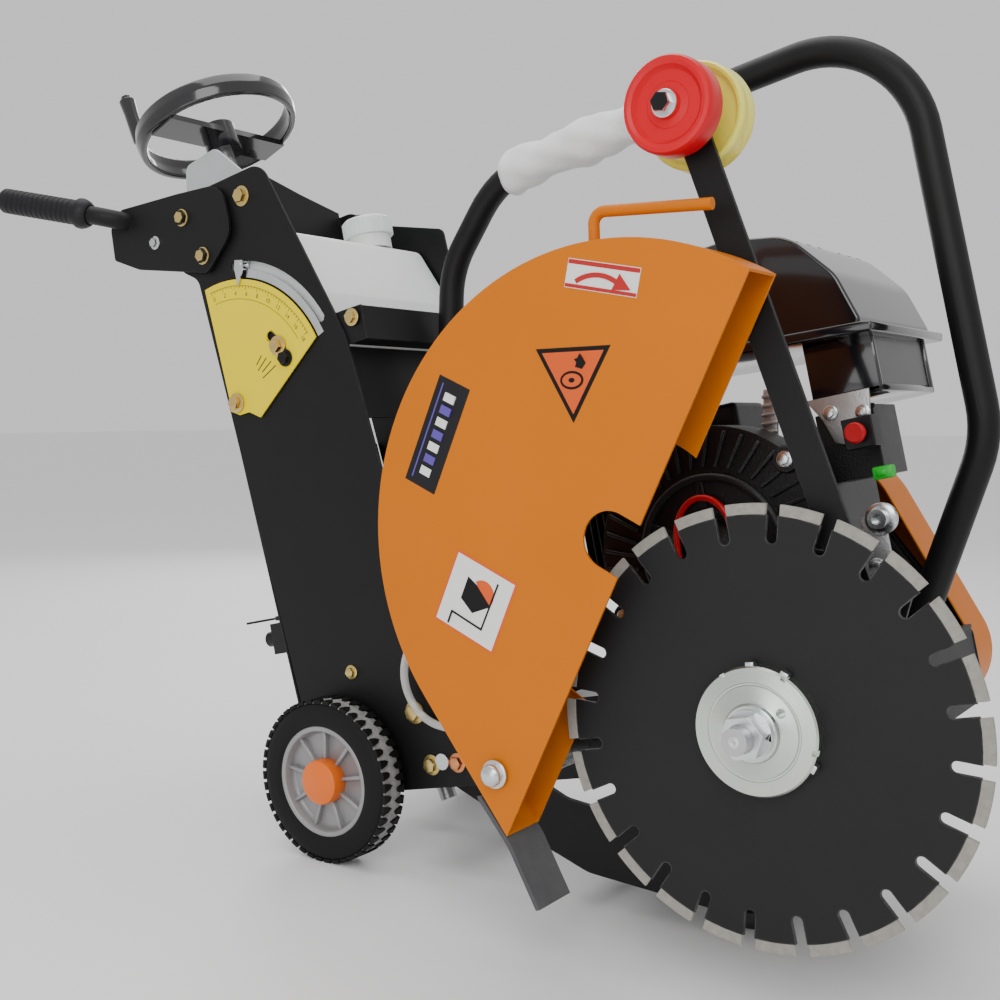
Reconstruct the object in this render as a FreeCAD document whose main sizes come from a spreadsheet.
"""Walk-behind floor saw: a petrol engine drives a steel disc blade through V-belts.

The chassis is drawn level, in its own frame: X forward, Y to the machine's left, Z up, with the
blade's centre at the origin.  It stands pitched nose-up, as the machine does with the front
wheels wound right down and the blade clear of the ground.  All sizes are in millimetres.
"""
import FreeCAD, Part
import Sketcher
import math
import os
from FreeCAD import Placement, Rotation, Vector

SIZES = {
    # whole machine
    "pitch": 12.5,
    "shaft_height": 270.81,
    "origin_x": 487.519,
    "origin_y": 236.694,
    # side plates and deck
    "sheet": 3.0,
    "plate_right": 146.0,
    "plate_left": 430.0,
    "rail_bottom": -61.0,
    "rail_top": 27.0,
    "rail_front": 75.0,
    # wheels
    "rear_wheel_radius": 100.0,
    "rear_wheel_width": 40.0,
    "rear_rim_radius": 68.0,
    "rear_axle_radius": 8.0,
    "front_wheel_radius": 62.5,
    "front_wheel_width": 38.0,
    "front_axle_radius": 8.0,
    # blade and arbor
    "blade_radius": 200.0,
    "core_radius": 190.0,
    "blade_thickness": 3.2,
    "segment_thickness": 4.0,
    "segment_count": 24,
    "slot_width": 10.0,
    "slot_depth": 30.0,
    "arbor_radius": 12.7,
    "arbor_tip_radius": 12.0,
    "shaft_radius": 17.5,
    "flange_radius": 58.0,
    "flange_step_radius": 44.0,
    "nut_flats": 36.0,
    # guard
    "guard_radius": 271.0,
    "guard_outer": -42.0,
    "guard_width": 57.0,
    "guard_sheet": 2.5,
    "guard_open_angle": 46.65,
    "notch_radius": 27.0,
    # engine and drive
    "crank_x": -70.0,
    "crank_z": 160.0,
    "blade_pulley_radius": 58.0,
    "engine_pulley_radius": 46.0,
    "pulley_width": 44.0,
    # lift screw
    "screw_radius": 11.0,
    "screw_length": 1012.0,
    "screw_lean": 12.0,
    "handwheel_radius": 118.0,
    "rim_height": 32.0,
    # hoop and handlebar
    "hoop_radius": 16.0,
    "bar_radius": 12.5,
    "grip_radius": 17.0,
    "grip_length": 138.0,
    # depth scale
    "scale_radius": 160.0,
    "scale_sheet": 2.0,
    # guide
    "guide_arm_width": 30.0,
    "red_wheel_radius": 44.0,
    "yellow_wheel_radius": 50.0,
    # hose and lead
    "hose_radius": 4.75,
    "hose_bore": 3.2,
    "lead_radius": 3.25,
}

doc = FreeCAD.newDocument("FloorSaw")
sheet = doc.addObject("Spreadsheet::Sheet", "Dims")
for row, (alias, value) in enumerate(SIZES.items(), 1):
    sheet.set(f"A{row}", alias)
    sheet.set(f"B{row}", str(value))
    sheet.setAlias(f"B{row}", alias)
doc.recompute()


def dim(alias):
    """A driving dimension, read back from the sheet."""
    return float(sheet.get(alias))


TURN_TO = {"X": Rotation(Vector(0, 1, 0), 90), "Y": Rotation(Vector(1, 0, 0), -90), "Z": Rotation()}
CHASSIS = Placement(
    Vector(dim("origin_x"), -dim("origin_y"), dim("shaft_height")),
    Rotation(Vector(0, 1, 0), -dim("pitch")),
)
MIDDLE = (dim("plate_right") + dim("plate_left")) / 2
NODES = []


# ---------------------------------------------------------------- small helpers
def bind(item, **formulas):
    """Tie properties of an object to formulas over the sheet's cells."""
    for name, formula in formulas.items():
        item.setExpression(name, formula)
    return item


def cylinder(radius, length, at, along="Y"):
    item = bind(doc.addObject("Part::Cylinder", "round"), Radius=radius, Height=length)
    item.Placement = Placement(Vector(*at), TURN_TO[along])
    return item


def cone(radius_1, radius_2, length, at, along="Y"):
    item = doc.addObject("Part::Cone", "cone")
    bind(item, Radius1=radius_1, Radius2=radius_2, Height=length)
    item.Placement = Placement(Vector(*at), TURN_TO[along])
    return item


def box(length, width, height, at):
    item = bind(doc.addObject("Part::Box", "block"), Length=length, Width=width, Height=height)
    item.Placement = Placement(Vector(*at), Rotation())
    return item


def prism(sides, across_corners, length, at, along="Y"):
    item = doc.addObject("Part::Prism", "prism")
    item.Polygon = sides
    bind(item, Circumradius=across_corners, Height=length)
    item.Placement = Placement(Vector(*at), TURN_TO[along])
    return item


def fuse(*items):
    item = doc.addObject("Part::MultiFuse", "joined")
    item.Shapes = list(items)
    item.Refine = True
    return item


def cut(base, *tools):
    item = doc.addObject("Part::Cut", "trimmed")
    item.Base = base
    item.Tool = tools[0] if len(tools) == 1 else fuse(*tools)
    return item


def moved(item, x=0.0, y=0.0, z=0.0):
    item.Placement = Placement(Vector(x, y, z), Rotation()).multiply(item.Placement)
    return item


def node(item, name, placement=CHASSIS):
    """Register a finished sub-part: its label names its file."""
    item.Label = name
    item.Placement = placement.multiply(item.Placement)
    NODES.append(item)
    return item


def rounded_loop(corners):
    """Edges of a closed outline; a corner (x, z, r) is rounded by an arc of radius r."""
    count = len(corners)
    spans = []
    for i, corner in enumerate(corners):
        here = Vector(corner[0], corner[1], 0)
        if len(corner) < 3:
            spans.append((here, None, here))
            continue
        before = Vector(corners[i - 1][0], corners[i - 1][1], 0) - here
        after = Vector(corners[(i + 1) % count][0], corners[(i + 1) % count][1], 0) - here
        before.normalize()
        after.normalize()
        half = before.getAngle(after) / 2
        reach = corner[2] / math.tan(half)
        inward = (before + after).normalize()
        middle = here + inward * (corner[2] / math.sin(half) - corner[2])
        spans.append((here + before * reach, middle, here + after * reach))
    edges = []
    for i, (start, middle, end) in enumerate(spans):
        if middle is not None:
            edges.append(Part.Arc(start, middle, end))
        following = spans[(i + 1) % count][0]
        if (following - end).Length > 1e-6:
            edges.append(Part.LineSegment(end, following))
    return edges


def plane_of(body, role):
    return next(p for p in body.Origin.OriginFeatures if p.Role == role)


def sketch_in(body, role, edges, circles=()):
    """A sketch on one of the body's own planes; circles are (x, z, radius formula)."""
    sketch = body.newObject("Sketcher::SketchObject", "outline")
    sketch.AttachmentSupport = [(plane_of(body, role), "")]
    sketch.MapMode = "FlatFace"
    sketch.addGeometry(edges, False)
    for number, (x, z, radius) in enumerate(circles):
        index = sketch.addGeometry(Part.Circle(Vector(x, z, 0), Vector(0, 0, 1), 5.0), False)
        sketch.addConstraint(Sketcher.Constraint("Radius", index, 5.0))
        sketch.renameConstraint(sketch.ConstraintCount - 1, f"hole{number}")
        sketch.setExpression(f"Constraints.hole{number}", radius)
    return sketch


def slab(edges, thickness, y, holes=()):
    """A flat piece in the XZ plane, padded from a sketch from y to y + thickness."""
    body = doc.addObject("PartDesign::Body", "Body")
    sketch = sketch_in(body, "XZ_Plane", edges, holes)
    pad = body.newObject("PartDesign::Pad", "Pad")
    pad.Profile = sketch
    pad.Reversed = True
    pad.setExpression("Length", thickness)
    body.Placement = Placement(Vector(0, y, 0), Rotation())
    return body


def plate(corners, thickness, y, holes=(), slots=()):
    """A flat plate with straight and rounded corners, from y to y + thickness."""
    return slab(rounded_loop(corners) + list(slots), thickness, y, holes)


def arc_slot(x, z, radius, half_width, start, end):
    """Edges of a slot that bends round (x, z) from angle start to end, in degrees."""
    def at(r, angle):
        turn = math.radians(angle)
        return Vector(x + r * math.cos(turn), z + r * math.sin(turn), 0)

    middle = (start + end) / 2
    over = math.degrees(half_width / radius)
    far = radius + half_width
    near = radius - half_width
    outer = Part.Arc(at(far, start), at(far, middle), at(far, end))
    tip = Part.Arc(at(far, end), at(radius, end + over), at(near, end))
    inner = Part.Arc(at(near, end), at(near, middle), at(near, start))
    tail = Part.Arc(at(near, start), at(radius, start - over), at(far, start))
    return [outer, tip, inner, tail]


def turned(profile):
    """A body of revolution about Y, from (radius, y) corners."""
    body = doc.addObject("PartDesign::Body", "Body")
    sketch = sketch_in(body, "XY_Plane", rounded_loop(profile))
    turn = body.newObject("PartDesign::Revolution", "Revolution")
    turn.Profile = sketch
    turn.ReferenceAxis = (sketch, ["V_Axis"])
    turn.Angle = 360.0
    return body


CORD_SHARE = 0.45


def bent_path(points, bend=None):
    """Straight runs joined by tangent arcs of radius bend or, without one, as large as their runs allow."""
    points = [Vector(*point) for point in points]
    edges = []
    start = points[0]
    for before, here, after in zip(points, points[1:], points[2:]):
        shorter = min((before - here).Length, (after - here).Length)
        back = (before - here).normalize()
        ahead = (after - here).normalize()
        half = back.getAngle(ahead) / 2
        reach = bend / math.tan(half) if bend else CORD_SHARE * shorter
        radius = reach * math.tan(half)
        middle = here + (back + ahead).normalize() * (radius / math.sin(half) - radius)
        edges.append(Part.LineSegment(start, here + back * reach).toShape())
        edges.append(Part.Arc(here + back * reach, middle, here + ahead * reach).toShape())
        start = here + ahead * reach
    edges.append(Part.LineSegment(start, points[-1]).toShape())
    return Part.Wire(edges)


def rod(points, bend, radius, bore=0.0):
    """A round bar or, with a bore, a tube swept along straight runs and bends."""
    path = bent_path(points, bend)
    start = Vector(*points[0])
    heading = (Vector(*points[1]) - start).normalize()

    def sweep(size):
        section = Part.Wire(Part.Circle(start, heading, size).toShape())
        return path.makePipeShell([section], True, False)

    item = doc.addObject("Part::Feature", "rod")
    item.Shape = sweep(radius).cut(sweep(bore)) if bore else sweep(radius)
    return item


def cord(name, points, radius, bore=0.0):
    """A hose or lead along a route; prints its length, its bends and its volume over section times length."""
    path = bent_path(points)
    item = rod(points, None, radius, bore)
    section = math.pi * (radius ** 2 - bore ** 2)
    radii = [round(edge.Curve.Radius, 1) for edge in path.Edges if hasattr(edge.Curve, "Radius")]
    share = item.Shape.Volume / (section * path.Length)
    print(name, "length", round(path.Length, 1), "radii", radii, "volume share", round(share, 4))
    node(item, name)


# ---------------------------------------------------------------- chassis
def rear_edge(z, inset=0.0):
    """X of the column's leaning rear edge at height z."""
    return -698.0 - 0.0803 * z + inset


def side_outline(shoulder):
    """Outline of a side plate: a rail along the bottom, a column at the back, and its shoulder."""
    return [
        (-681.0, dim("rail_bottom"), 25.0),
        (dim("rail_front"), dim("rail_bottom"), 12.0),
        (dim("rail_front"), dim("rail_top"), 12.0),
        (-462.0, dim("rail_top"), 40.0),
        (-497.0, 330.0, 60.0),
        (-515.0, 497.0, 40.0),
        *shoulder,
        (-776.0, 745.0, 12.0),
        (-776.0, 650.0, 12.0),
        (rear_edge(640.0), 632.0, 20.0),
    ]


RIGHT_SHOULDER = [(-605.0, 745.0, 28.0)]
LEFT_SHOULDER = [(-536.0, 560.0, 20.0), (-541.0, 672.0, 12.0), (-640.0, 707.0, 60.0), (-701.0, 745.0, 30.0)]
SCALE_CLAMP_RADIUS = 104.0
SCALE_CLAMP_ANGLE = 20.5


SCALE_PIVOT = (-712.0, 456.0)
BAR_PIVOT = (-725.0, 657.0)
BAR_CLAMP = (-752.0, 717.0)
REAR_AXLE = (-634.0, -34.4)
CARRIAGE_PIVOT = (-480.0, -30.0)
GUARD_PIVOT = (-264.3, -14.1)


def side_plate(y, axle_side):
    """One side of the chassis with the stub axle of its rear wheel welded on."""
    right_hand = axle_side < 0
    clamp_reach = math.dist(BAR_PIVOT, BAR_CLAMP)
    clamp_angle = math.degrees(math.atan2(BAR_CLAMP[1] - BAR_PIVOT[1], BAR_CLAMP[0] - BAR_PIVOT[0]))
    slots = arc_slot(*BAR_PIVOT, clamp_reach, 5.6, clamp_angle - 16.0, clamp_angle + 16.0)
    if right_hand:
        slots = slots + arc_slot(*SCALE_PIVOT, 178.0, 6.0, 24.0, 80.0)
    holes = [
        (0.0, 0.0, "Dims.shaft_radius + 6"),
        (*CARRIAGE_PIVOT, "10.05"),
        (*BAR_PIVOT, "5.05"),
    ]
    outline = side_outline(RIGHT_SHOULDER if right_hand else LEFT_SHOULDER)
    pieces = [plate(outline, "Dims.sheet", y, holes, slots)]
    stub_length = 59.0
    stub_y = y - stub_length + 3.0 if right_hand else y
    pieces.append(cylinder("Dims.rear_axle_radius", str(stub_length), (REAR_AXLE[0], stub_y, REAR_AXLE[1])))
    collar_y = y - 7.0 if right_hand else y + 3.0
    pieces.append(cylinder("14", "7", (REAR_AXLE[0], collar_y, REAR_AXLE[1])))
    if right_hand:
        pieces += scale_studs(y)
    return fuse(*pieces)


def scale_studs(y):
    """Pivot stud and clamp stud of the depth scale, each with its washer and nut."""
    turn = math.radians(SCALE_CLAMP_ANGLE)
    clamp = (SCALE_PIVOT[0] + SCALE_CLAMP_RADIUS * math.cos(turn),
             SCALE_PIVOT[1] + SCALE_CLAMP_RADIUS * math.sin(turn))
    pieces = []
    for (x, z), length in ((SCALE_PIVOT, "20"), (clamp, "14")):
        pieces.append(cylinder("5", length, (x, y - 12.0, z)))
        pieces.append(cylinder("11", "2", (x, y - 6.0, z)))
        pieces.append(prism(6, "8", "6", (x, y - 12.0, z)))
    return pieces


def deck():
    """Engine deck between the rails, with the front cross member under its nose."""
    y = dim("plate_right") + dim("sheet")
    width = "Dims.plate_left - Dims.plate_right - 2 * Dims.sheet"
    top = box("395", width, "4", (-320.0, y, dim("rail_top") - 4.0))
    nose = box("4", width, "80", (70.0, y, dim("rail_bottom") + 4.0))
    lip = box("30", width, "4", (44.0, y, dim("rail_bottom") + 4.0))
    return fuse(top, nose, lip)


def column_cover():
    """Closes the lower back of the column between the side plates."""
    body = plate(
        [(rear_edge(30.0), 30.0), (rear_edge(30.0, 3.0), 30.0), (rear_edge(400.0, 3.0), 400.0),
         (rear_edge(400.0), 400.0)],
        str(dim("plate_left") - dim("plate_right") - 2 * dim("sheet")), dim("plate_right") + dim("sheet"))
    return body


def crown():
    """Arched panel that stands across the left half of the column's top."""
    body = doc.addObject("PartDesign::Body", "Body")
    weld = dim("plate_left") - 2.0
    outline = [(262.0, 700.0, 6.0), (weld, 700.0), (weld, 752.0), (350.0, 770.0, 120.0), (262.0, 794.0, 10.0)]
    sketch = sketch_in(body, "YZ_Plane", rounded_loop(outline))
    pad = body.newObject("PartDesign::Pad", "Pad")
    pad.Profile = sketch
    pad.setExpression("Length", "Dims.sheet")
    body.Placement = Placement(Vector(-727.0, 0, 0), Rotation())
    return body


def build_chassis():
    right = dim("plate_right")
    left = dim("plate_left")
    inside = right + dim("sheet")
    gap = left - right - 2 * dim("sheet")
    hose_boss = box("14", "16.5", "16", (-436.0, right - 16.0, -2.0))
    node(fuse(side_plate(right, -1), hose_boss), "side_plate_right")
    node(fuse(side_plate(left - dim("sheet"), 1), crown()), "side_plate_left")
    node(deck(), "deck")
    node(column_cover(), "column_cover")
    web = box("4", str(gap), "42", (-489.0, inside, 485.0))
    flanges = [box("30", str(gap), "4", (-515.0, inside, z)) for z in (485.0, 523.0)]
    node(fuse(web, *flanges), "cross_bar")
    hoop_points = [
        (-478.0, MIDDLE, 29.0), (-478.0, MIDDLE, 420.0), (-440.0, MIDDLE, 571.0), (-345.0, MIDDLE, 662.0),
        (168.0, MIDDLE, 662.0), (168.0, MIDDLE, 225.0), (62.0, MIDDLE, 45.0),
    ]
    node(rod(hoop_points, 120.0, dim("hoop_radius")), "hoop")
    build_tank(inside, gap)
    build_guard_post()
    pin = cylinder("10", str(left - right + 8.0), (CARRIAGE_PIVOT[0], right - 4.0, CARRIAGE_PIVOT[1]))
    node(pin, "carriage_pin")


def build_tank(inside, gap):
    """Blow-moulded water tank held between the side plates ahead of the column."""
    side = 6.0
    outline = [
        (-690.0, 440.0, 20.0), (-530.0, 440.0, 20.0), (-530.0, 478.0, 6.0), (-545.0, 560.0, 20.0),
        (-585.0, 650.0, 20.0), (-650.0, 672.0, 20.0), (-700.0, 640.0, 20.0),
    ]
    inner = [
        (-686.0, 444.0, 16.0), (-534.0, 444.0, 16.0), (-534.0, 478.0, 6.0), (-549.0, 558.0, 16.0),
        (-588.0, 646.0, 16.0), (-650.0, 667.0, 16.0), (-696.0, 638.0, 16.0),
    ]
    shell = plate(outline, str(gap - 2 * side), inside + side)
    room = plate(inner, str(gap - 2 * side - 8.0), inside + side + 4.0)
    neck_at = (-620.0, MIDDLE + 70.0, 655.0)
    neck = cylinder("30", "38", neck_at, "Z")
    throat = cylinder("25", "60", (neck_at[0], neck_at[1], 640.0), "Z")
    screw_way = box("60", "44", "260", (-735.0, MIDDLE - 22.0, 430.0))
    node(cut(fuse(shell, neck), room, throat, screw_way), "water_tank")


def build_guard_post():
    """Carries the guard's pivot bolt out from the right side plate."""
    x, z = GUARD_PIVOT
    right = dim("plate_right")
    inner_face = dim("guard_outer") + dim("guard_width")
    tube = cylinder("20", str(right - inner_face - 1.0), (x, inner_face + 1.0, z))
    bolt = cylinder("8", str(inner_face + 6.0 - dim("guard_outer")), (x, dim("guard_outer") - 4.0, z))
    washer = cylinder("13", "2", (x, dim("guard_outer") - 3.0, z))
    head = prism(6, "11", "8", (x, dim("guard_outer") - 11.0, z))
    node(fuse(tube, bolt, washer, head), "guard_post")


# ---------------------------------------------------------------- blade rotor
def radial_slots(width, length, start):
    """Tools that cut one slot at each of the disc's equal divisions."""
    count = int(dim("segment_count"))
    tools = []
    for index in range(count):
        turn = Rotation(Vector(0, 1, 0), -index * 360.0 / count)
        bar = box(str(length), "20", str(width), (0, 0, 0))
        bar.Placement = Placement(turn.multVec(Vector(start, -10, -width / 2)), turn)
        tools.append(bar)
    return tools


def segment_ring():
    """Diamond segments brazed round the core, one between each pair of slots."""
    thickness = dim("segment_thickness")
    return cut(
        cylinder("Dims.blade_radius", "Dims.segment_thickness", (0, -thickness / 2, 0)),
        cylinder("Dims.core_radius", "Dims.segment_thickness + 2", (0, -thickness / 2 - 1, 0)),
        *radial_slots(dim("slot_width") + 3.0, 40.0, 180.0))


def core():
    """Steel disc with a keyhole slot between each pair of segments."""
    count = int(dim("segment_count"))
    disc = cylinder("Dims.core_radius", "Dims.blade_thickness", (0, -dim("blade_thickness") / 2, 0))
    bore = cylinder("Dims.arbor_radius + 0.05", "20", (0, -10, 0))
    floor = dim("blade_radius") - dim("slot_depth")
    feet = []
    for index in range(count):
        foot = Rotation(Vector(0, 1, 0), -index * 360.0 / count).multVec(Vector(floor, -10, 0))
        feet.append(cylinder("Dims.slot_width / 2", "20", tuple(foot)))
    return cut(disc, bore, *feet, *radial_slots(dim("slot_width"), 40.0, floor))


def build_rotor():
    node(core(), "blade_core")
    node(segment_ring(), "blade_segments")
    half = dim("blade_thickness") / 2
    bore = dim("arbor_radius") + 0.05
    radius = dim("flange_radius")
    step = dim("flange_step_radius")
    outer = turned([(bore, -half), (radius, -half), (radius, -15.0, 2.0), (step + 4.0, -17.0, 2.0),
                    (step, -20.0, 2.0), (26.0, -20.0, 2.0), (24.0, -25.0, 2.0), (bore, -25.0)])
    node(outer, "flange_outer")
    inner = turned([(bore, half), (radius, half), (radius, 12.0, 2.0), (30.0, 20.0, 2.0), (bore, 20.0)])
    node(inner, "flange_inner")

    journal_start = 20.0
    shaft_end = 505.0
    tip_length = 14.0
    tip = cylinder("Dims.arbor_tip_radius", str(tip_length), (0, -44.0 - tip_length, 0))
    arbor = cylinder("Dims.arbor_radius", str(journal_start + 44.0), (0, -44.0, 0))
    journal = cylinder("Dims.shaft_radius", str(shaft_end - 10.0 - journal_start), (0, journal_start, 0))
    node(fuse(tip, arbor, journal), "arbor_shaft")
    nut = cut(
        fuse(prism(6, "Dims.nut_flats / sqrt(3)", "19", (0, -44.0, 0)), cylinder("22", "3", (0, -28.0, 0))),
        cylinder("Dims.arbor_radius + 0.05", "40", (0, -50.0, 0)))
    node(nut, "arbor_nut")
    driven = pulley("Dims.blade_pulley_radius", "Dims.shaft_radius + 0.05", (0.0, PULLEY_START, 0.0))
    node(driven, "driven_pulley")


PULLEY_START = 446.0


def pulley(radius, bore, at):
    """Double V-belt pulley."""
    width = dim("pulley_width")
    blank = cylinder(radius, "Dims.pulley_width", at)
    hole = cylinder(bore, "Dims.pulley_width + 10", (at[0], at[1] - 5.0, at[2]))
    tools = [hole]
    for groove in (-0.22, 0.22):
        centre = at[1] + width * (0.5 + groove)
        ring = cut(
            cylinder(f"{radius} + 1", "11", (at[0], centre - 5.5, at[2])),
            cylinder(f"{radius} - 9", "13", (at[0], centre - 6.5, at[2])))
        tools.append(ring)
    return cut(blank, *tools)


def bearing(y, face):
    """Flanged bearing housing bolted to a side plate; face is +1 for the left plate's outside."""
    start = y if face > 0 else y - 30.0
    flange_start = y if face > 0 else y - 8.0
    house = fuse(cylinder("42", "30", (0, start, 0)), box("118", "8", "60", (-59.0, flange_start, -30.0)))
    return cut(house, cylinder("Dims.shaft_radius + 0.05", "60", (0, start - 10.0, 0)))


def build_drive():
    node(bearing(dim("plate_right"), -1), "bearing_right")
    node(cut(fuse(cylinder("34", "14", (0, dim("plate_left"), 0)),
                  box("104", "6", "50", (-52.0, dim("plate_left"), -25.0))),
             cylinder("Dims.shaft_radius + 0.05", "60", (0, dim("plate_left") - 10.0, 0))), "bearing_left")
    x = dim("crank_x")
    z = dim("crank_z")
    node(fuse(cylinder("12.5", "150", (x, 345.0, z)), cylinder("20", "20", (x, 345.0, z))), "crankshaft")
    node(pulley("Dims.engine_pulley_radius", "12.55", (x, PULLEY_START, z)), "drive_pulley")
    build_belts()
    build_belt_guard()


def belt_loop(blade_end, engine_end, y, width):
    """Slab whose outline wraps a circle at the blade shaft and one at the crankshaft."""
    x = dim("crank_x")
    z = dim("crank_z")
    lean = math.atan2(z, x)
    open_angle = math.acos((blade_end - engine_end) / math.hypot(x, z))
    first = lean + open_angle
    second = lean - open_angle

    def at(cx, cz, r, angle):
        return Vector(cx + r * math.cos(angle), cz + r * math.sin(angle), 0)

    edges = [
        Part.Arc(*[at(0, 0, blade_end, angle) for angle in (first, lean + math.pi, second)]),
        Part.LineSegment(at(0, 0, blade_end, second), at(x, z, engine_end, second)),
        Part.Arc(at(x, z, engine_end, second), at(x, z, engine_end, lean), at(x, z, engine_end, first)),
        Part.LineSegment(at(x, z, engine_end, first), at(0, 0, blade_end, first)),
    ]
    return slab(edges, str(width), y)


def build_belts():
    width = dim("pulley_width")
    blade_end = dim("blade_pulley_radius")
    engine_end = dim("engine_pulley_radius")
    belts = []
    for groove in (-0.22, 0.22):
        y = PULLEY_START + width * (0.5 + groove) - 4.8
        loop = belt_loop(blade_end + 0.5, engine_end + 0.5, y, 9.6)
        belts.append(cut(loop, belt_loop(blade_end - 8.6, engine_end - 8.6, y - 1.0, 12.0)))
    node(fuse(*belts), "drive_belts")


def build_belt_guard():
    """Pressed cover over the belts, open towards the side plate."""
    start = dim("plate_left") + 0.5
    depth = 76.0
    outer = belt_loop(72.0, 85.0, start, depth)
    room = belt_loop(69.5, 82.5, start - 1.0, depth - 1.5)
    node(cut(outer, room), "belt_guard")


# ---------------------------------------------------------------- engine
def build_engine():
    x = dim("crank_x")
    z = dim("crank_z")
    deck_top = dim("rail_top")
    crankcase = box("190", "190", "190", (x - 95.0, 165.0, deck_top))
    feet = box("240", "150", "14", (x - 120.0, 180.0, deck_top))
    barrel = box("120", "150", "150", (x - 175.0, 185.0, deck_top + 120.0))
    flange = cylinder("60", "12", (x, 350.0, z))
    block = fuse(crankcase, feet, barrel, flange)
    node(cut(block, cylinder("21", "60", (x, 335.0, z))), "engine_block")

    drum = cylinder("125", "48", (x, 116.0, z))
    dished = cut(drum, cylinder("40", "20", (x, 115.0, z)))
    lead_posts = [box("14", "35", "14", (post_x, 101.0, z - 18.0)) for post_x in (-111.0, -49.0)]
    node(fuse(dished, *lead_posts), "engine_cowl")

    tank = plate(
        [(-205.0, 372.0, 15.0), (104.0, 348.0, 8.0), (86.0, 405.0, 50.0), (46.0, 455.0, 50.0),
         (-20.0, 470.0, 40.0), (-190.0, 466.0, 40.0), (-208.0, 420.0, 30.0)], "226", 172.0)
    node(cut(tank, cylinder("22", "60", (-80.0, 285.0, 452.0), "Z")), "fuel_tank")
    node(box("66", "170", "56", (34.0, 196.0, 289.0)), "air_box")
    node(box("110", "88", "106", (-225.0, 337.0, 219.0)), "muffler")
    throttle_pin = cylinder("3", "12", (60.0, 189.0, 262.0))
    node(fuse(box("60", "70", "70", (28.0, 200.0, 205.0)), throttle_pin), "carburettor")


# ---------------------------------------------------------------- wheels and carriage
def at_axle(x, z, y=0.0):
    return CHASSIS.multiply(Placement(Vector(x, y, z), Rotation()))


def build_rear_wheel(side, outer_face, direction):
    """Solid tyre on a dished plastic hub; direction is +1 where the wheel's inside faces +Y."""
    radius = dim("rear_wheel_radius")
    width = dim("rear_wheel_width")
    rim = dim("rear_rim_radius")
    place = at_axle(*REAR_AXLE, outer_face)

    def profile(points):
        return [(r, direction * y, *rest) for r, y, *rest in points]

    tyre = turned(profile([(rim, 1.0), (radius - 12.0, 0.0, 8.0), (radius, 8.0, 6.0),
                           (radius, width - 8.0, 6.0), (radius - 12.0, width, 8.0), (rim, width - 1.0)]))
    node(tyre, f"rear_tyre_{side}", place)
    bore = dim("rear_axle_radius") + 0.05
    hub = turned(profile([(bore, -1.0), (19.0, -1.0, 2.0), (21.0, 10.0, 3.0), (58.0, 13.0, 4.0),
                          (62.0, 2.0, 1.0), (rim - 0.1, 2.0), (rim - 0.1, width - 2.0),
                          (60.0, width - 2.0, 1.0),
                          (56.0, 19.0, 4.0), (22.0, 19.0, 3.0), (20.0, width + 2.0), (bore, width + 2.0)]))
    node(hub, f"rear_hub_{side}", place)


def carriage_arm(y):
    centre_line = [
        (-497.0, -6.0, 22.0), (-462.0, 6.0, 22.0), (-330.0, -86.0, 40.0), (-132.0, -150.0, 26.0),
        (-114.0, -206.0, 24.0), (-160.0, -214.0, 40.0), (-250.0, -189.0, 60.0), (-318.0, -170.0, 50.0),
        (-365.0, -142.0, 40.0), (-508.0, -48.0, 24.0),
    ]
    return plate(centre_line, "6", y)


FRONT_AXLE = (-142.7, -181.7)
WHEEL_UP_ANGLE = 22.4


def screw_frame():
    """Frame of the lift screw: its Z runs up the screw, its origin is the handwheel's centre."""
    return Placement(Vector(-807.0, MIDDLE, 887.0), Rotation(Vector(0, 1, 0), -dim("screw_lean")))


def nut_centre():
    """Where the lever's centre line crosses the screw with the wheels wound down."""
    frame = screw_frame()
    up = frame.Rotation.multVec(Vector(0, 0, 1))
    pivot = Vector(CARRIAGE_PIVOT[0], MIDDLE, CARRIAGE_PIVOT[1])
    foot = frame.Base + up * (pivot - frame.Base).dot(up)
    lever = (foot - pivot).Length
    return foot + up * (lever * math.tan(math.radians(WHEEL_UP_ANGLE / 2)))


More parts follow.
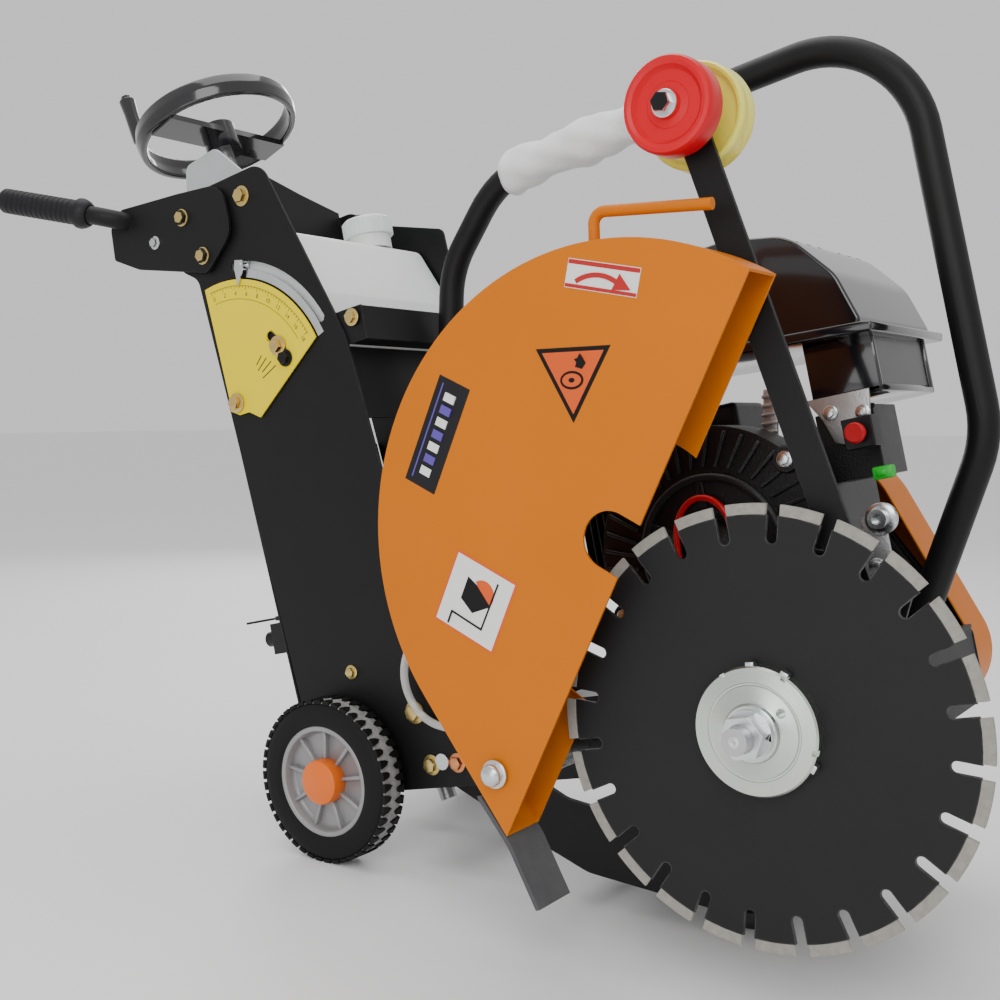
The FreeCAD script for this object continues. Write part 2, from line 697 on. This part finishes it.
def build_carriage():
    x, z = CARRIAGE_PIVOT
    inside = dim("plate_right") + dim("sheet")
    outside = dim("plate_left") - dim("sheet")
    tube = cylinder("18", str(outside - inside - 1.0), (x, inside + 0.5, z))
    axle = cylinder("Dims.front_axle_radius", "246", (FRONT_AXLE[0], MIDDLE - 123.0, FRONT_AXLE[1]))
    sleeve = cylinder("13", "110", (FRONT_AXLE[0], MIDDLE - 55.0, FRONT_AXLE[1]))
    tie = cylinder("11", "240", (-330.0, MIDDLE - 120.0, -122.0))
    nut = nut_centre()
    along = Vector(nut.x - x, 0, nut.z - z)
    lever_length = along.Length
    turn = Rotation(Vector(1, 0, 0), along)
    levers = []
    slots = []
    for start in (-27.0, 21.0):
        bar = box(str(lever_length + 22.0), "6", "34", (0, 0, 0))
        bar.Placement = Placement(Vector(x, MIDDLE + start, z), turn).multiply(
            Placement(Vector(0, 0, -17.0), Rotation()))
        levers.append(bar)
        slot = box("24", "10", "13", (0, 0, 0))
        slot.Placement = Placement(Vector(x, MIDDLE + start - 2.0, z), turn).multiply(
            Placement(Vector(lever_length - 12.0, 0, -6.5), Rotation()))
        slots.append(slot)
    frame = fuse(tube, axle, sleeve, tie, carriage_arm(MIDDLE - 123.0), carriage_arm(MIDDLE + 117.0), *levers)
    bore = cylinder("10.05", str(outside - inside + 20.0), (x, inside - 10.0, z))
    node(cut(frame, bore, *slots), "carriage_frame")
    for side, start in (("right", MIDDLE - 94.0), ("left", MIDDLE + 56.0)):
        radius = dim("front_wheel_radius")
        width = dim("front_wheel_width")
        bore_radius = dim("front_axle_radius") + 0.05
        wheel = turned([(bore_radius, 0.0), (18.0, 0.0), (20.0, 8.0, 2.0), (40.0, 8.0, 2.0), (43.0, 1.0, 1.0),
                        (radius - 8.0, 1.0, 4.0), (radius, 7.0, 4.0), (radius, width - 7.0, 4.0),
                        (radius - 8.0, width - 1.0, 4.0), (43.0, width - 1.0, 1.0), (40.0, width - 8.0, 2.0),
                        (20.0, width - 8.0, 2.0), (18.0, width), (bore_radius, width)])
        node(wheel, f"front_wheel_{side}", at_axle(*FRONT_AXLE, start))


# ---------------------------------------------------------------- lift screw and handwheel
KNOB_ANGLE = 215.0


def build_screw():
    frame = screw_frame()
    place = CHASSIS.multiply(frame)
    shaft = cylinder("Dims.screw_radius", "Dims.screw_length", (0, 0, -dim("screw_length")), "Z")
    collar_low = cylinder("19", "12", (0, 0, -196.0), "Z")
    collar_high = cylinder("19", "10", (0, 0, -175.5), "Z")
    node(fuse(shaft, collar_low, collar_high), "lift_screw", place)

    radius = dim("handwheel_radius")
    height = dim("rim_height")
    rim = turned([(radius - 13.0, -height / 2, 4.0), (radius - 3.0, -height / 2, 4.0), (radius, 0.0, 12.0),
                  (radius - 3.0, height / 2, 4.0), (radius - 13.0, height / 2, 4.0),
                  (radius - 11.0, 0.0, 12.0)])
    rim.Placement = Placement(Vector(), Rotation(Vector(1, 0, 0), 90))
    hub = cylinder("25", "42", (0, 0, -42.0), "Z")
    spoke = box("44", str(2 * radius - 16.0), "9", (-22.0, 8.0 - radius, -20.0))
    turn_knob = math.radians(KNOB_ANGLE)
    reach = radius - 7.0
    stud_at = (reach * math.cos(turn_knob), reach * math.sin(turn_knob), 0.0)
    stud = cylinder("5", "92", stud_at, "Z")
    button = cylinder("7", "3", (stud_at[0], stud_at[1], 92.0), "Z")
    bore = cylinder("Dims.screw_radius", "60", (0, 0, -60.0), "Z")
    node(cut(fuse(rim, hub, spoke, stud, button), bore), "handwheel", place)

    knob = cut(fuse(cylinder("10", "70", (0, 0, 20.0), "Z"), cone("8", "11.5", "56", (0, 0, 34.0), "Z")),
               cylinder("5.05", "120", (0, 0, 0), "Z"))
    node(knob, "crank_knob", place.multiply(Placement(Vector(*stud_at), Rotation())))

    nut = nut_centre()
    nut_place = CHASSIS.multiply(Placement(nut, frame.Rotation))
    block = box("36", "36", "40", (-18.0, -18.0, -20.0))
    trunnion = cylinder("6", "58", (0, -29.0, 0))
    bore = cylinder("Dims.screw_radius + 0.05", "60", (0, 0, -30.0), "Z")
    node(cut(fuse(block, trunnion), bore), "lift_nut", nut_place)


def build_yoke():
    """Zinc-plated bracket across the column's top that carries the screw's thrust collars."""
    frame = screw_frame()
    near = dim("plate_right") + dim("sheet") + 2.0
    far = dim("plate_left") - dim("sheet") - 2.0
    right_ear = plate(
        [(-628.0, 698.0, 14.0), (-632.0, 736.0, 16.0), (-684.0, 792.0, 14.0), (-742.0, 786.0, 12.0),
         (-750.0, 745.0, 10.0), (-796.0, 724.0, 8.0), (-796.0, 694.0, 8.0)], "4", near)
    left_ear = plate(
        [(-742.0, 694.0, 6.0), (-742.0, 770.0, 12.0), (-772.0, 776.0, 12.0), (-798.0, 730.0, 12.0),
         (-796.0, 694.0, 6.0)], "4", far - 4.0)
    web = box("60", str(far - near), "8", (-30.0, near - MIDDLE, -184.0))
    web.Placement = frame.multiply(web.Placement)
    bore = cylinder("Dims.screw_radius + 0.05", "80", (0, 0, -220.0), "Z")
    bore.Placement = frame.multiply(bore.Placement)
    node(cut(fuse(right_ear, left_ear, web), bore, bolt_way()), "screw_yoke")


def bolt_way():
    """Hole for the bolt that holds the yoke to the right side plate."""
    return cylinder("5", "30", (-646.0, dim("plate_right") - 10.0, 714.0))


# ---------------------------------------------------------------- guard
def guard_place():
    x, z = GUARD_PIVOT
    there = Placement(Vector(x, 0, z), Rotation(Vector(0, 1, 0), -dim("guard_open_angle")))
    return CHASSIS.multiply(there).multiply(Placement(Vector(-x, 0, -z), Rotation()))


def guard_edges(inset, mouth, notch):
    """Half-disc outline with a straight tail; mouth lowers the open edge, notch clears the nut."""
    radius = dim("guard_radius") - inset
    tilt = math.radians(6.05)
    drop = 22.3 + mouth
    tail = 314.2

    def on_edge(t, offset=drop):
        along = Vector(math.cos(tilt), math.sin(tilt), 0)
        return along * t + Vector(along.y, -along.x, 0) * offset

    front_t = math.sqrt(radius ** 2 - drop ** 2)
    front = on_edge(front_t)
    start_angle = math.atan2(front.y, front.x)
    full = dim("guard_radius")
    tail_angle = math.atan2(on_edge(-tail, 22.3).y, on_edge(-tail, 22.3).x) % (2 * math.pi)
    tangent_angle = tail_angle - math.acos(full / on_edge(-tail, 22.3).Length)

    def on_arc(angle):
        return Vector(radius * math.cos(angle), radius * math.sin(angle), 0)

    tangent = on_arc(tangent_angle)
    slope = Vector(-math.sin(tangent_angle), math.cos(tangent_angle), 0)
    reach = (on_edge(0) - tangent).dot(Vector(math.sin(tilt), -math.cos(tilt), 0)) / slope.dot(
        Vector(math.sin(tilt), -math.cos(tilt), 0))
    corner = tangent + slope * reach
    crest = on_arc((start_angle + tangent_angle) / 2)
    edges = [Part.Arc(front, crest, tangent), Part.LineSegment(tangent, corner)]
    if not notch:
        return edges + [Part.LineSegment(corner, front)]
    r = dim("notch_radius")
    edges += [
        Part.LineSegment(corner, on_edge(-r)),
        Part.LineSegment(on_edge(-r), on_edge(-r, 0)),
        Part.Arc(on_edge(-r, 0), on_edge(0, -r), on_edge(r, 0)),
        Part.LineSegment(on_edge(r, 0), on_edge(r)),
        Part.LineSegment(on_edge(r), front),
    ]
    return edges


def build_guard():
    wall = dim("guard_sheet")
    outer = dim("guard_outer")
    whole = slab(guard_edges(0.0, 0.0, True), "Dims.guard_width", outer, [(*GUARD_PIVOT, "8.05")])
    room = slab(guard_edges(wall, 12.0, False), "Dims.guard_width - 2 * Dims.guard_sheet", outer + wall)
    inner_face = outer + dim("guard_width")
    window = cylinder("95", "12", (0, inner_face - 6.0, 0))
    passage = box("250", "12", "150", (-170.0, inner_face - 6.0, -120.0))
    shell = cut(whole, room, window, passage)
    y = outer + dim("guard_width") / 2
    grab = rod([(212.0, y, 165.0), (240.0, y, 183.5), (299.0, y, 79.0)], 11.0, 5.5)
    node(fuse(shell, grab), "guard_shell", guard_place())
    flap = plate([(-296.0, -8.0, 4.0), (-300.5, -7.0, 4.0), (-319.0, -62.0, 60.0), (-350.0, -118.0),
                  (-346.5, -121.0), (-314.5, -64.0, 60.0)], "Dims.guard_width - 1", outer + 0.5)
    node(flap, "guard_flap", guard_place())


# ---------------------------------------------------------------- guide
GUIDE_PIVOT = (101.0, 110.0)
GUIDE_HUB = (31.0, 557.0)


def build_guide():
    """Folding sight arm with two wheels that run along the marked line."""
    (px, pz), (hx, hz) = GUIDE_PIVOT, GUIDE_HUB
    right = dim("plate_right")
    arm_y = 20.0
    lug_y = right - 13.0
    lug = plate([(46.0, -24.0, 5.0), (70.0, -24.0, 5.0), (82.0, 30.0, 20.0), (118.0, 100.0, 14.0),
                 (110.0, 130.0, 14.0), (86.0, 122.0, 12.0), (50.0, 30.0, 30.0)], "5", lug_y)
    post = cylinder("12", str(lug_y + 5.0 - arm_y - 5.5), (px, arm_y + 5.5, pz))
    pin = cylinder("6", "12", (px, arm_y - 3.0, pz))
    head = cylinder("11", "3", (px, arm_y - 3.5, pz))
    node(fuse(lug, post, pin, head), "guide_bracket")

    length = math.hypot(hx - px, hz - pz)
    turn = Rotation(Vector(0, 1, 0), -math.degrees(math.atan2(hz - pz, hx - px)))
    place = CHASSIS.multiply(Placement(Vector(px, 0, pz), turn))
    half = dim("guide_arm_width") / 2
    round_end = half - 1.0
    tip = length + half
    corners = [(-half, -half), (tip, -half), (tip, half), (-half, half)]
    arm = plate([(x, z, round_end) for x, z in corners], "5", arm_y, [(0.0, 0.0, "6.05")])
    bolt = cylinder("5", "98", (length, -26.0, 0))
    head = prism(6, "9", "6", (length, -31.0, 0))
    end = prism(6, "9", "5", (length, 66.0, 0))
    node(fuse(arm, bolt, head, end), "guide_arm", place)
    hub_place = CHASSIS.multiply(Placement(Vector(hx, 0, hz), turn))
    red = dim("red_wheel_radius")
    yellow = dim("yellow_wheel_radius")
    node(turned([(5.05, -20.0), (12.0, -20.0, 1.0), (14.0, -15.0, 2.0), (red - 9.0, -13.0, 3.0),
                 (red - 3.0, -18.0, 2.0), (red, -12.0, 3.0), (red, 8.0, 3.0), (red - 6.0, 8.0),
                 (red - 8.0, -6.0),
                 (14.0, -6.0), (12.0, 14.0), (5.05, 14.0)]), "guide_wheel_red", hub_place)
    node(turned([(5.05, 30.0), (12.0, 30.0), (14.0, 42.0, 2.0), (yellow - 8.0, 42.0, 2.0),
                 (yellow - 5.0, 34.0, 2.0), (yellow, 38.0, 3.0), (yellow, 62.0, 3.0),
                 (yellow - 5.0, 64.0, 2.0), (yellow - 8.0, 52.0, 2.0), (14.0, 52.0, 2.0), (12.0, 65.0),
                 (5.05, 65.0)]), "guide_wheel_yellow", hub_place)


# ---------------------------------------------------------------- handlebar
def build_handlebar():
    right = dim("plate_right")
    left = dim("plate_left")
    run = [(-1013.0, 62.0, 813.5), (-866.0, 116.0, 749.0), (-850.0, 196.0, 735.0)]
    points = run + [(x, 2 * MIDDLE - y, z) for x, y, z in reversed(run)]
    bar = rod(points, 45.0, dim("bar_radius"), dim("bar_radius") - 2.0)
    outline = [
        (-896.0, 700.0, 6.0), (-894.0, 744.0, 8.0), (-868.0, 764.0, 12.0), (-752.0, 750.0, 30.0),
        (-672.0, 738.0, 30.0), (-668.0, 672.0, 30.0), (-722.0, 633.0, 16.0), (-850.0, 674.0, 20.0),
    ]
    pieces = [bar, plate(outline, "4", right - 8.0), plate(outline, "4", left + 4.0)]
    for x, z in (BAR_PIVOT, BAR_CLAMP):
        for start, head in ((right - 14.0, right - 14.0), (left - 4.0, left + 8.0)):
            pieces.append(cylinder("5", "18", (x, start, z)))
            pieces.append(prism(6, "10", "6", (x, head, z)))
    node(fuse(*pieces), "handlebar_frame")
    start = Vector(*run[0])
    heading = (Vector(*run[1]) - start).normalize()
    for side in ("right", "left"):
        mirror = 1.0 if side == "right" else -1.0
        base = Vector(start.x, start.y if side == "right" else 2 * MIDDLE - start.y, start.z)
        direction = Vector(heading.x, mirror * heading.y, heading.z)
        grip = cut(
            fuse(cylinder("Dims.grip_radius", "Dims.grip_length", (0, 0, -4.0), "Z"),
                 cylinder("Dims.grip_radius + 4", "6", (0, 0, dim("grip_length") - 10.0), "Z")),
            cylinder("Dims.bar_radius + 0.05", "Dims.grip_length + 20", (0, 0, 0), "Z"))
        place = Placement(base, Rotation(Vector(0, 0, 1), direction))
        node(grip, f"grip_{side}", CHASSIS.multiply(place))


# ---------------------------------------------------------------- depth scale
POINTER_ANGLE = 75.0


def build_scale():
    x, z = SCALE_PIVOT
    right = dim("plate_right")
    radius = dim("scale_radius")

    def polar(r, angle):
        turn = math.radians(angle)
        return Vector(x + r * math.cos(turn), z + r * math.sin(turn), 0)

    arc = Part.Arc(polar(radius, 18.0), polar(radius, 58.0), polar(radius, 99.0))
    tail = [polar(radius, 99.0), Vector(-726.0, 466.0, 0), Vector(-727.0, 448.0, 0), Vector(-712.0, 440.0, 0),
            Vector(-694.0, 440.0, 0), Vector(-676.0, 429.0, 0), polar(radius, 18.0)]
    edges = [arc] + [Part.LineSegment(a, b) for a, b in zip(tail, tail[1:])]
    edges += arc_slot(x, z, SCALE_CLAMP_RADIUS, 6.0, SCALE_CLAMP_ANGLE, SCALE_CLAMP_ANGLE + 22.0)
    scale = slab(edges, "Dims.scale_sheet", right - 3.5, [(x, z, "5.05")])
    node(scale, "depth_scale")

    turn = Rotation(Vector(0, 1, 0), -POINTER_ANGLE)
    place = CHASSIS.multiply(Placement(Vector(x, 0, z), turn))
    inside = right + dim("sheet")
    arm = plate([(-11.0, -11.0, 10.0), (187.0, -6.0, 5.0), (187.0, 6.0, 5.0), (-11.0, 11.0, 10.0)], "2",
                inside + 1.5, [(0.0, 0.0, "5.05")])
    pin = cylinder("4", str(inside + 2.5 - (right - 8.0)), (178.0, right - 8.0, 0))
    wedge = plate([(150.0, 0.0), (172.0, -7.0), (184.0, -7.0), (184.0, 7.0), (172.0, 7.0)], "2", right - 7.0)
    node(fuse(arm, pin, wedge), "depth_pointer", place)


# ---------------------------------------------------------------- small controls
VALVE_AT = (-735.0, 172.0, 145.0)


def build_controls():
    right = dim("plate_right")
    x, y, z = VALVE_AT
    body = fuse(box("23", "32", "40", (x, y - 17.0, z - 20.0)), cylinder("10", "22", (x - 20.0, y, z), "X"),
                cylinder("5", "6", (x + 19.0, y, z), "X"),
                cylinder("5", "22", (x + 8.0, y, z + 15.0), "Z"))
    node(body, "valve_body")
    lever = fuse(cut(cylinder("9", "6", (0, 0, 0), "Z"), cylinder("5.05", "20", (0, 0, -8.0), "Z")),
                 box("44", "10", "3", (-50.0, -5.0, 1.5)))
    lever_place = Placement(Vector(x + 8.0, y, z + 23.0), Rotation(Vector(0, 0, 1), 20))
    node(lever, "valve_lever", CHASSIS.multiply(lever_place))

    hose = [(-436.6, 138.0, 6.0), (-470.0, 138.0, 10.0), (-499.0, 136.0, 32.0), (-509.0, 133.0, 68.0),
            (-495.0, 129.0, 103.0), (-462.0, 124.0, 126.0), (-420.0, 118.0, 133.0), (-376.0, 112.0, 120.0),
            (-338.0, 104.0, 92.0), (-303.0, 97.0, 48.0), (-275.8, 90.0, 3.6)]
    cord("water_hose", hose, dim("hose_radius"), dim("hose_bore"))
    lead_y = 108.0
    lead = [(-104.0, lead_y, 156.0), (-104.0, lead_y, 178.0), (-97.0, lead_y, 200.0), (-80.0, lead_y, 215.0),
            (-60.0, lead_y, 214.0), (-45.0, lead_y, 198.0), (-42.0, lead_y, 177.0), (-42.0, lead_y, 156.0)]
    cord("red_lead", lead, dim("lead_radius"))

    box_y = 152.0
    bracket = box("18", "26", "10", (74.0, box_y + 22.0, 236.0))
    housing = fuse(box("30", "24", "30", (70.0, box_y, 232.0)), bracket)
    node(cut(housing, cylinder("6.1", "14", (85.0, box_y - 1.0, 247.0))), "stop_box")
    head = cylinder("10", "8", (85.0, box_y - 12.5, 247.0))
    node(fuse(head, cylinder("6", "10", (85.0, box_y - 5.0, 247.0))), "stop_button")

    pivot = (60.0, 198.0, 262.0)
    lever = fuse(cut(cylinder("8", "4", (0, -4.0, 0)), cylinder("3.05", "10", (0, -7.0, 0))),
                 plate([(4.0, -3.0), (34.0, -3.0, 2.9), (34.0, 3.0, 2.9), (4.0, 3.0)], "3", -4.0))
    lever_place = Placement(Vector(*pivot), Rotation(Vector(0, 1, 0), -20))
    node(lever, "throttle_lever", CHASSIS.multiply(lever_place))

    plug = cylinder("21.9", "14", (-80.0, 285.0, 458.0), "Z")
    node(fuse(cylinder("27", "14", (-80.0, 285.0, 470.5), "Z"), plug), "fuel_cap")
    lid = cut(cylinder("35", "26", (-620.0, MIDDLE + 70.0, 674.0), "Z"),
              cylinder("30.1", "21", (-620.0, MIDDLE + 70.0, 673.0), "Z"))
    node(lid, "tank_cap")


# ---------------------------------------------------------------- make and write everything
def check_document():
    for item in doc.Objects:
        if "Invalid" in item.State or "Error" in item.State:
            raise RuntimeError(f"{item.Label} failed to compute: {item.State}")
    for item in NODES:
        if item.Shape.isNull() or not item.Shape.isValid():
            raise RuntimeError(f"{item.Label} has no valid shape")


def write_steps():
    os.makedirs("parts", exist_ok=True)
    for item in NODES:
        item.Shape.exportStep(f"parts/{item.Label}.step")


build_chassis()
build_rotor()
build_drive()
build_engine()
for side, face, direction in (("right", 95.7, 1.0), ("left", 2 * MIDDLE - 95.7, -1.0)):
    build_rear_wheel(side, face, direction)
build_carriage()
build_screw()
build_yoke()
build_guard()
build_guide()
build_handlebar()
build_scale()
build_controls()
doc.recompute()
check_document()
write_steps()
print(len(NODES), "sub-parts written")
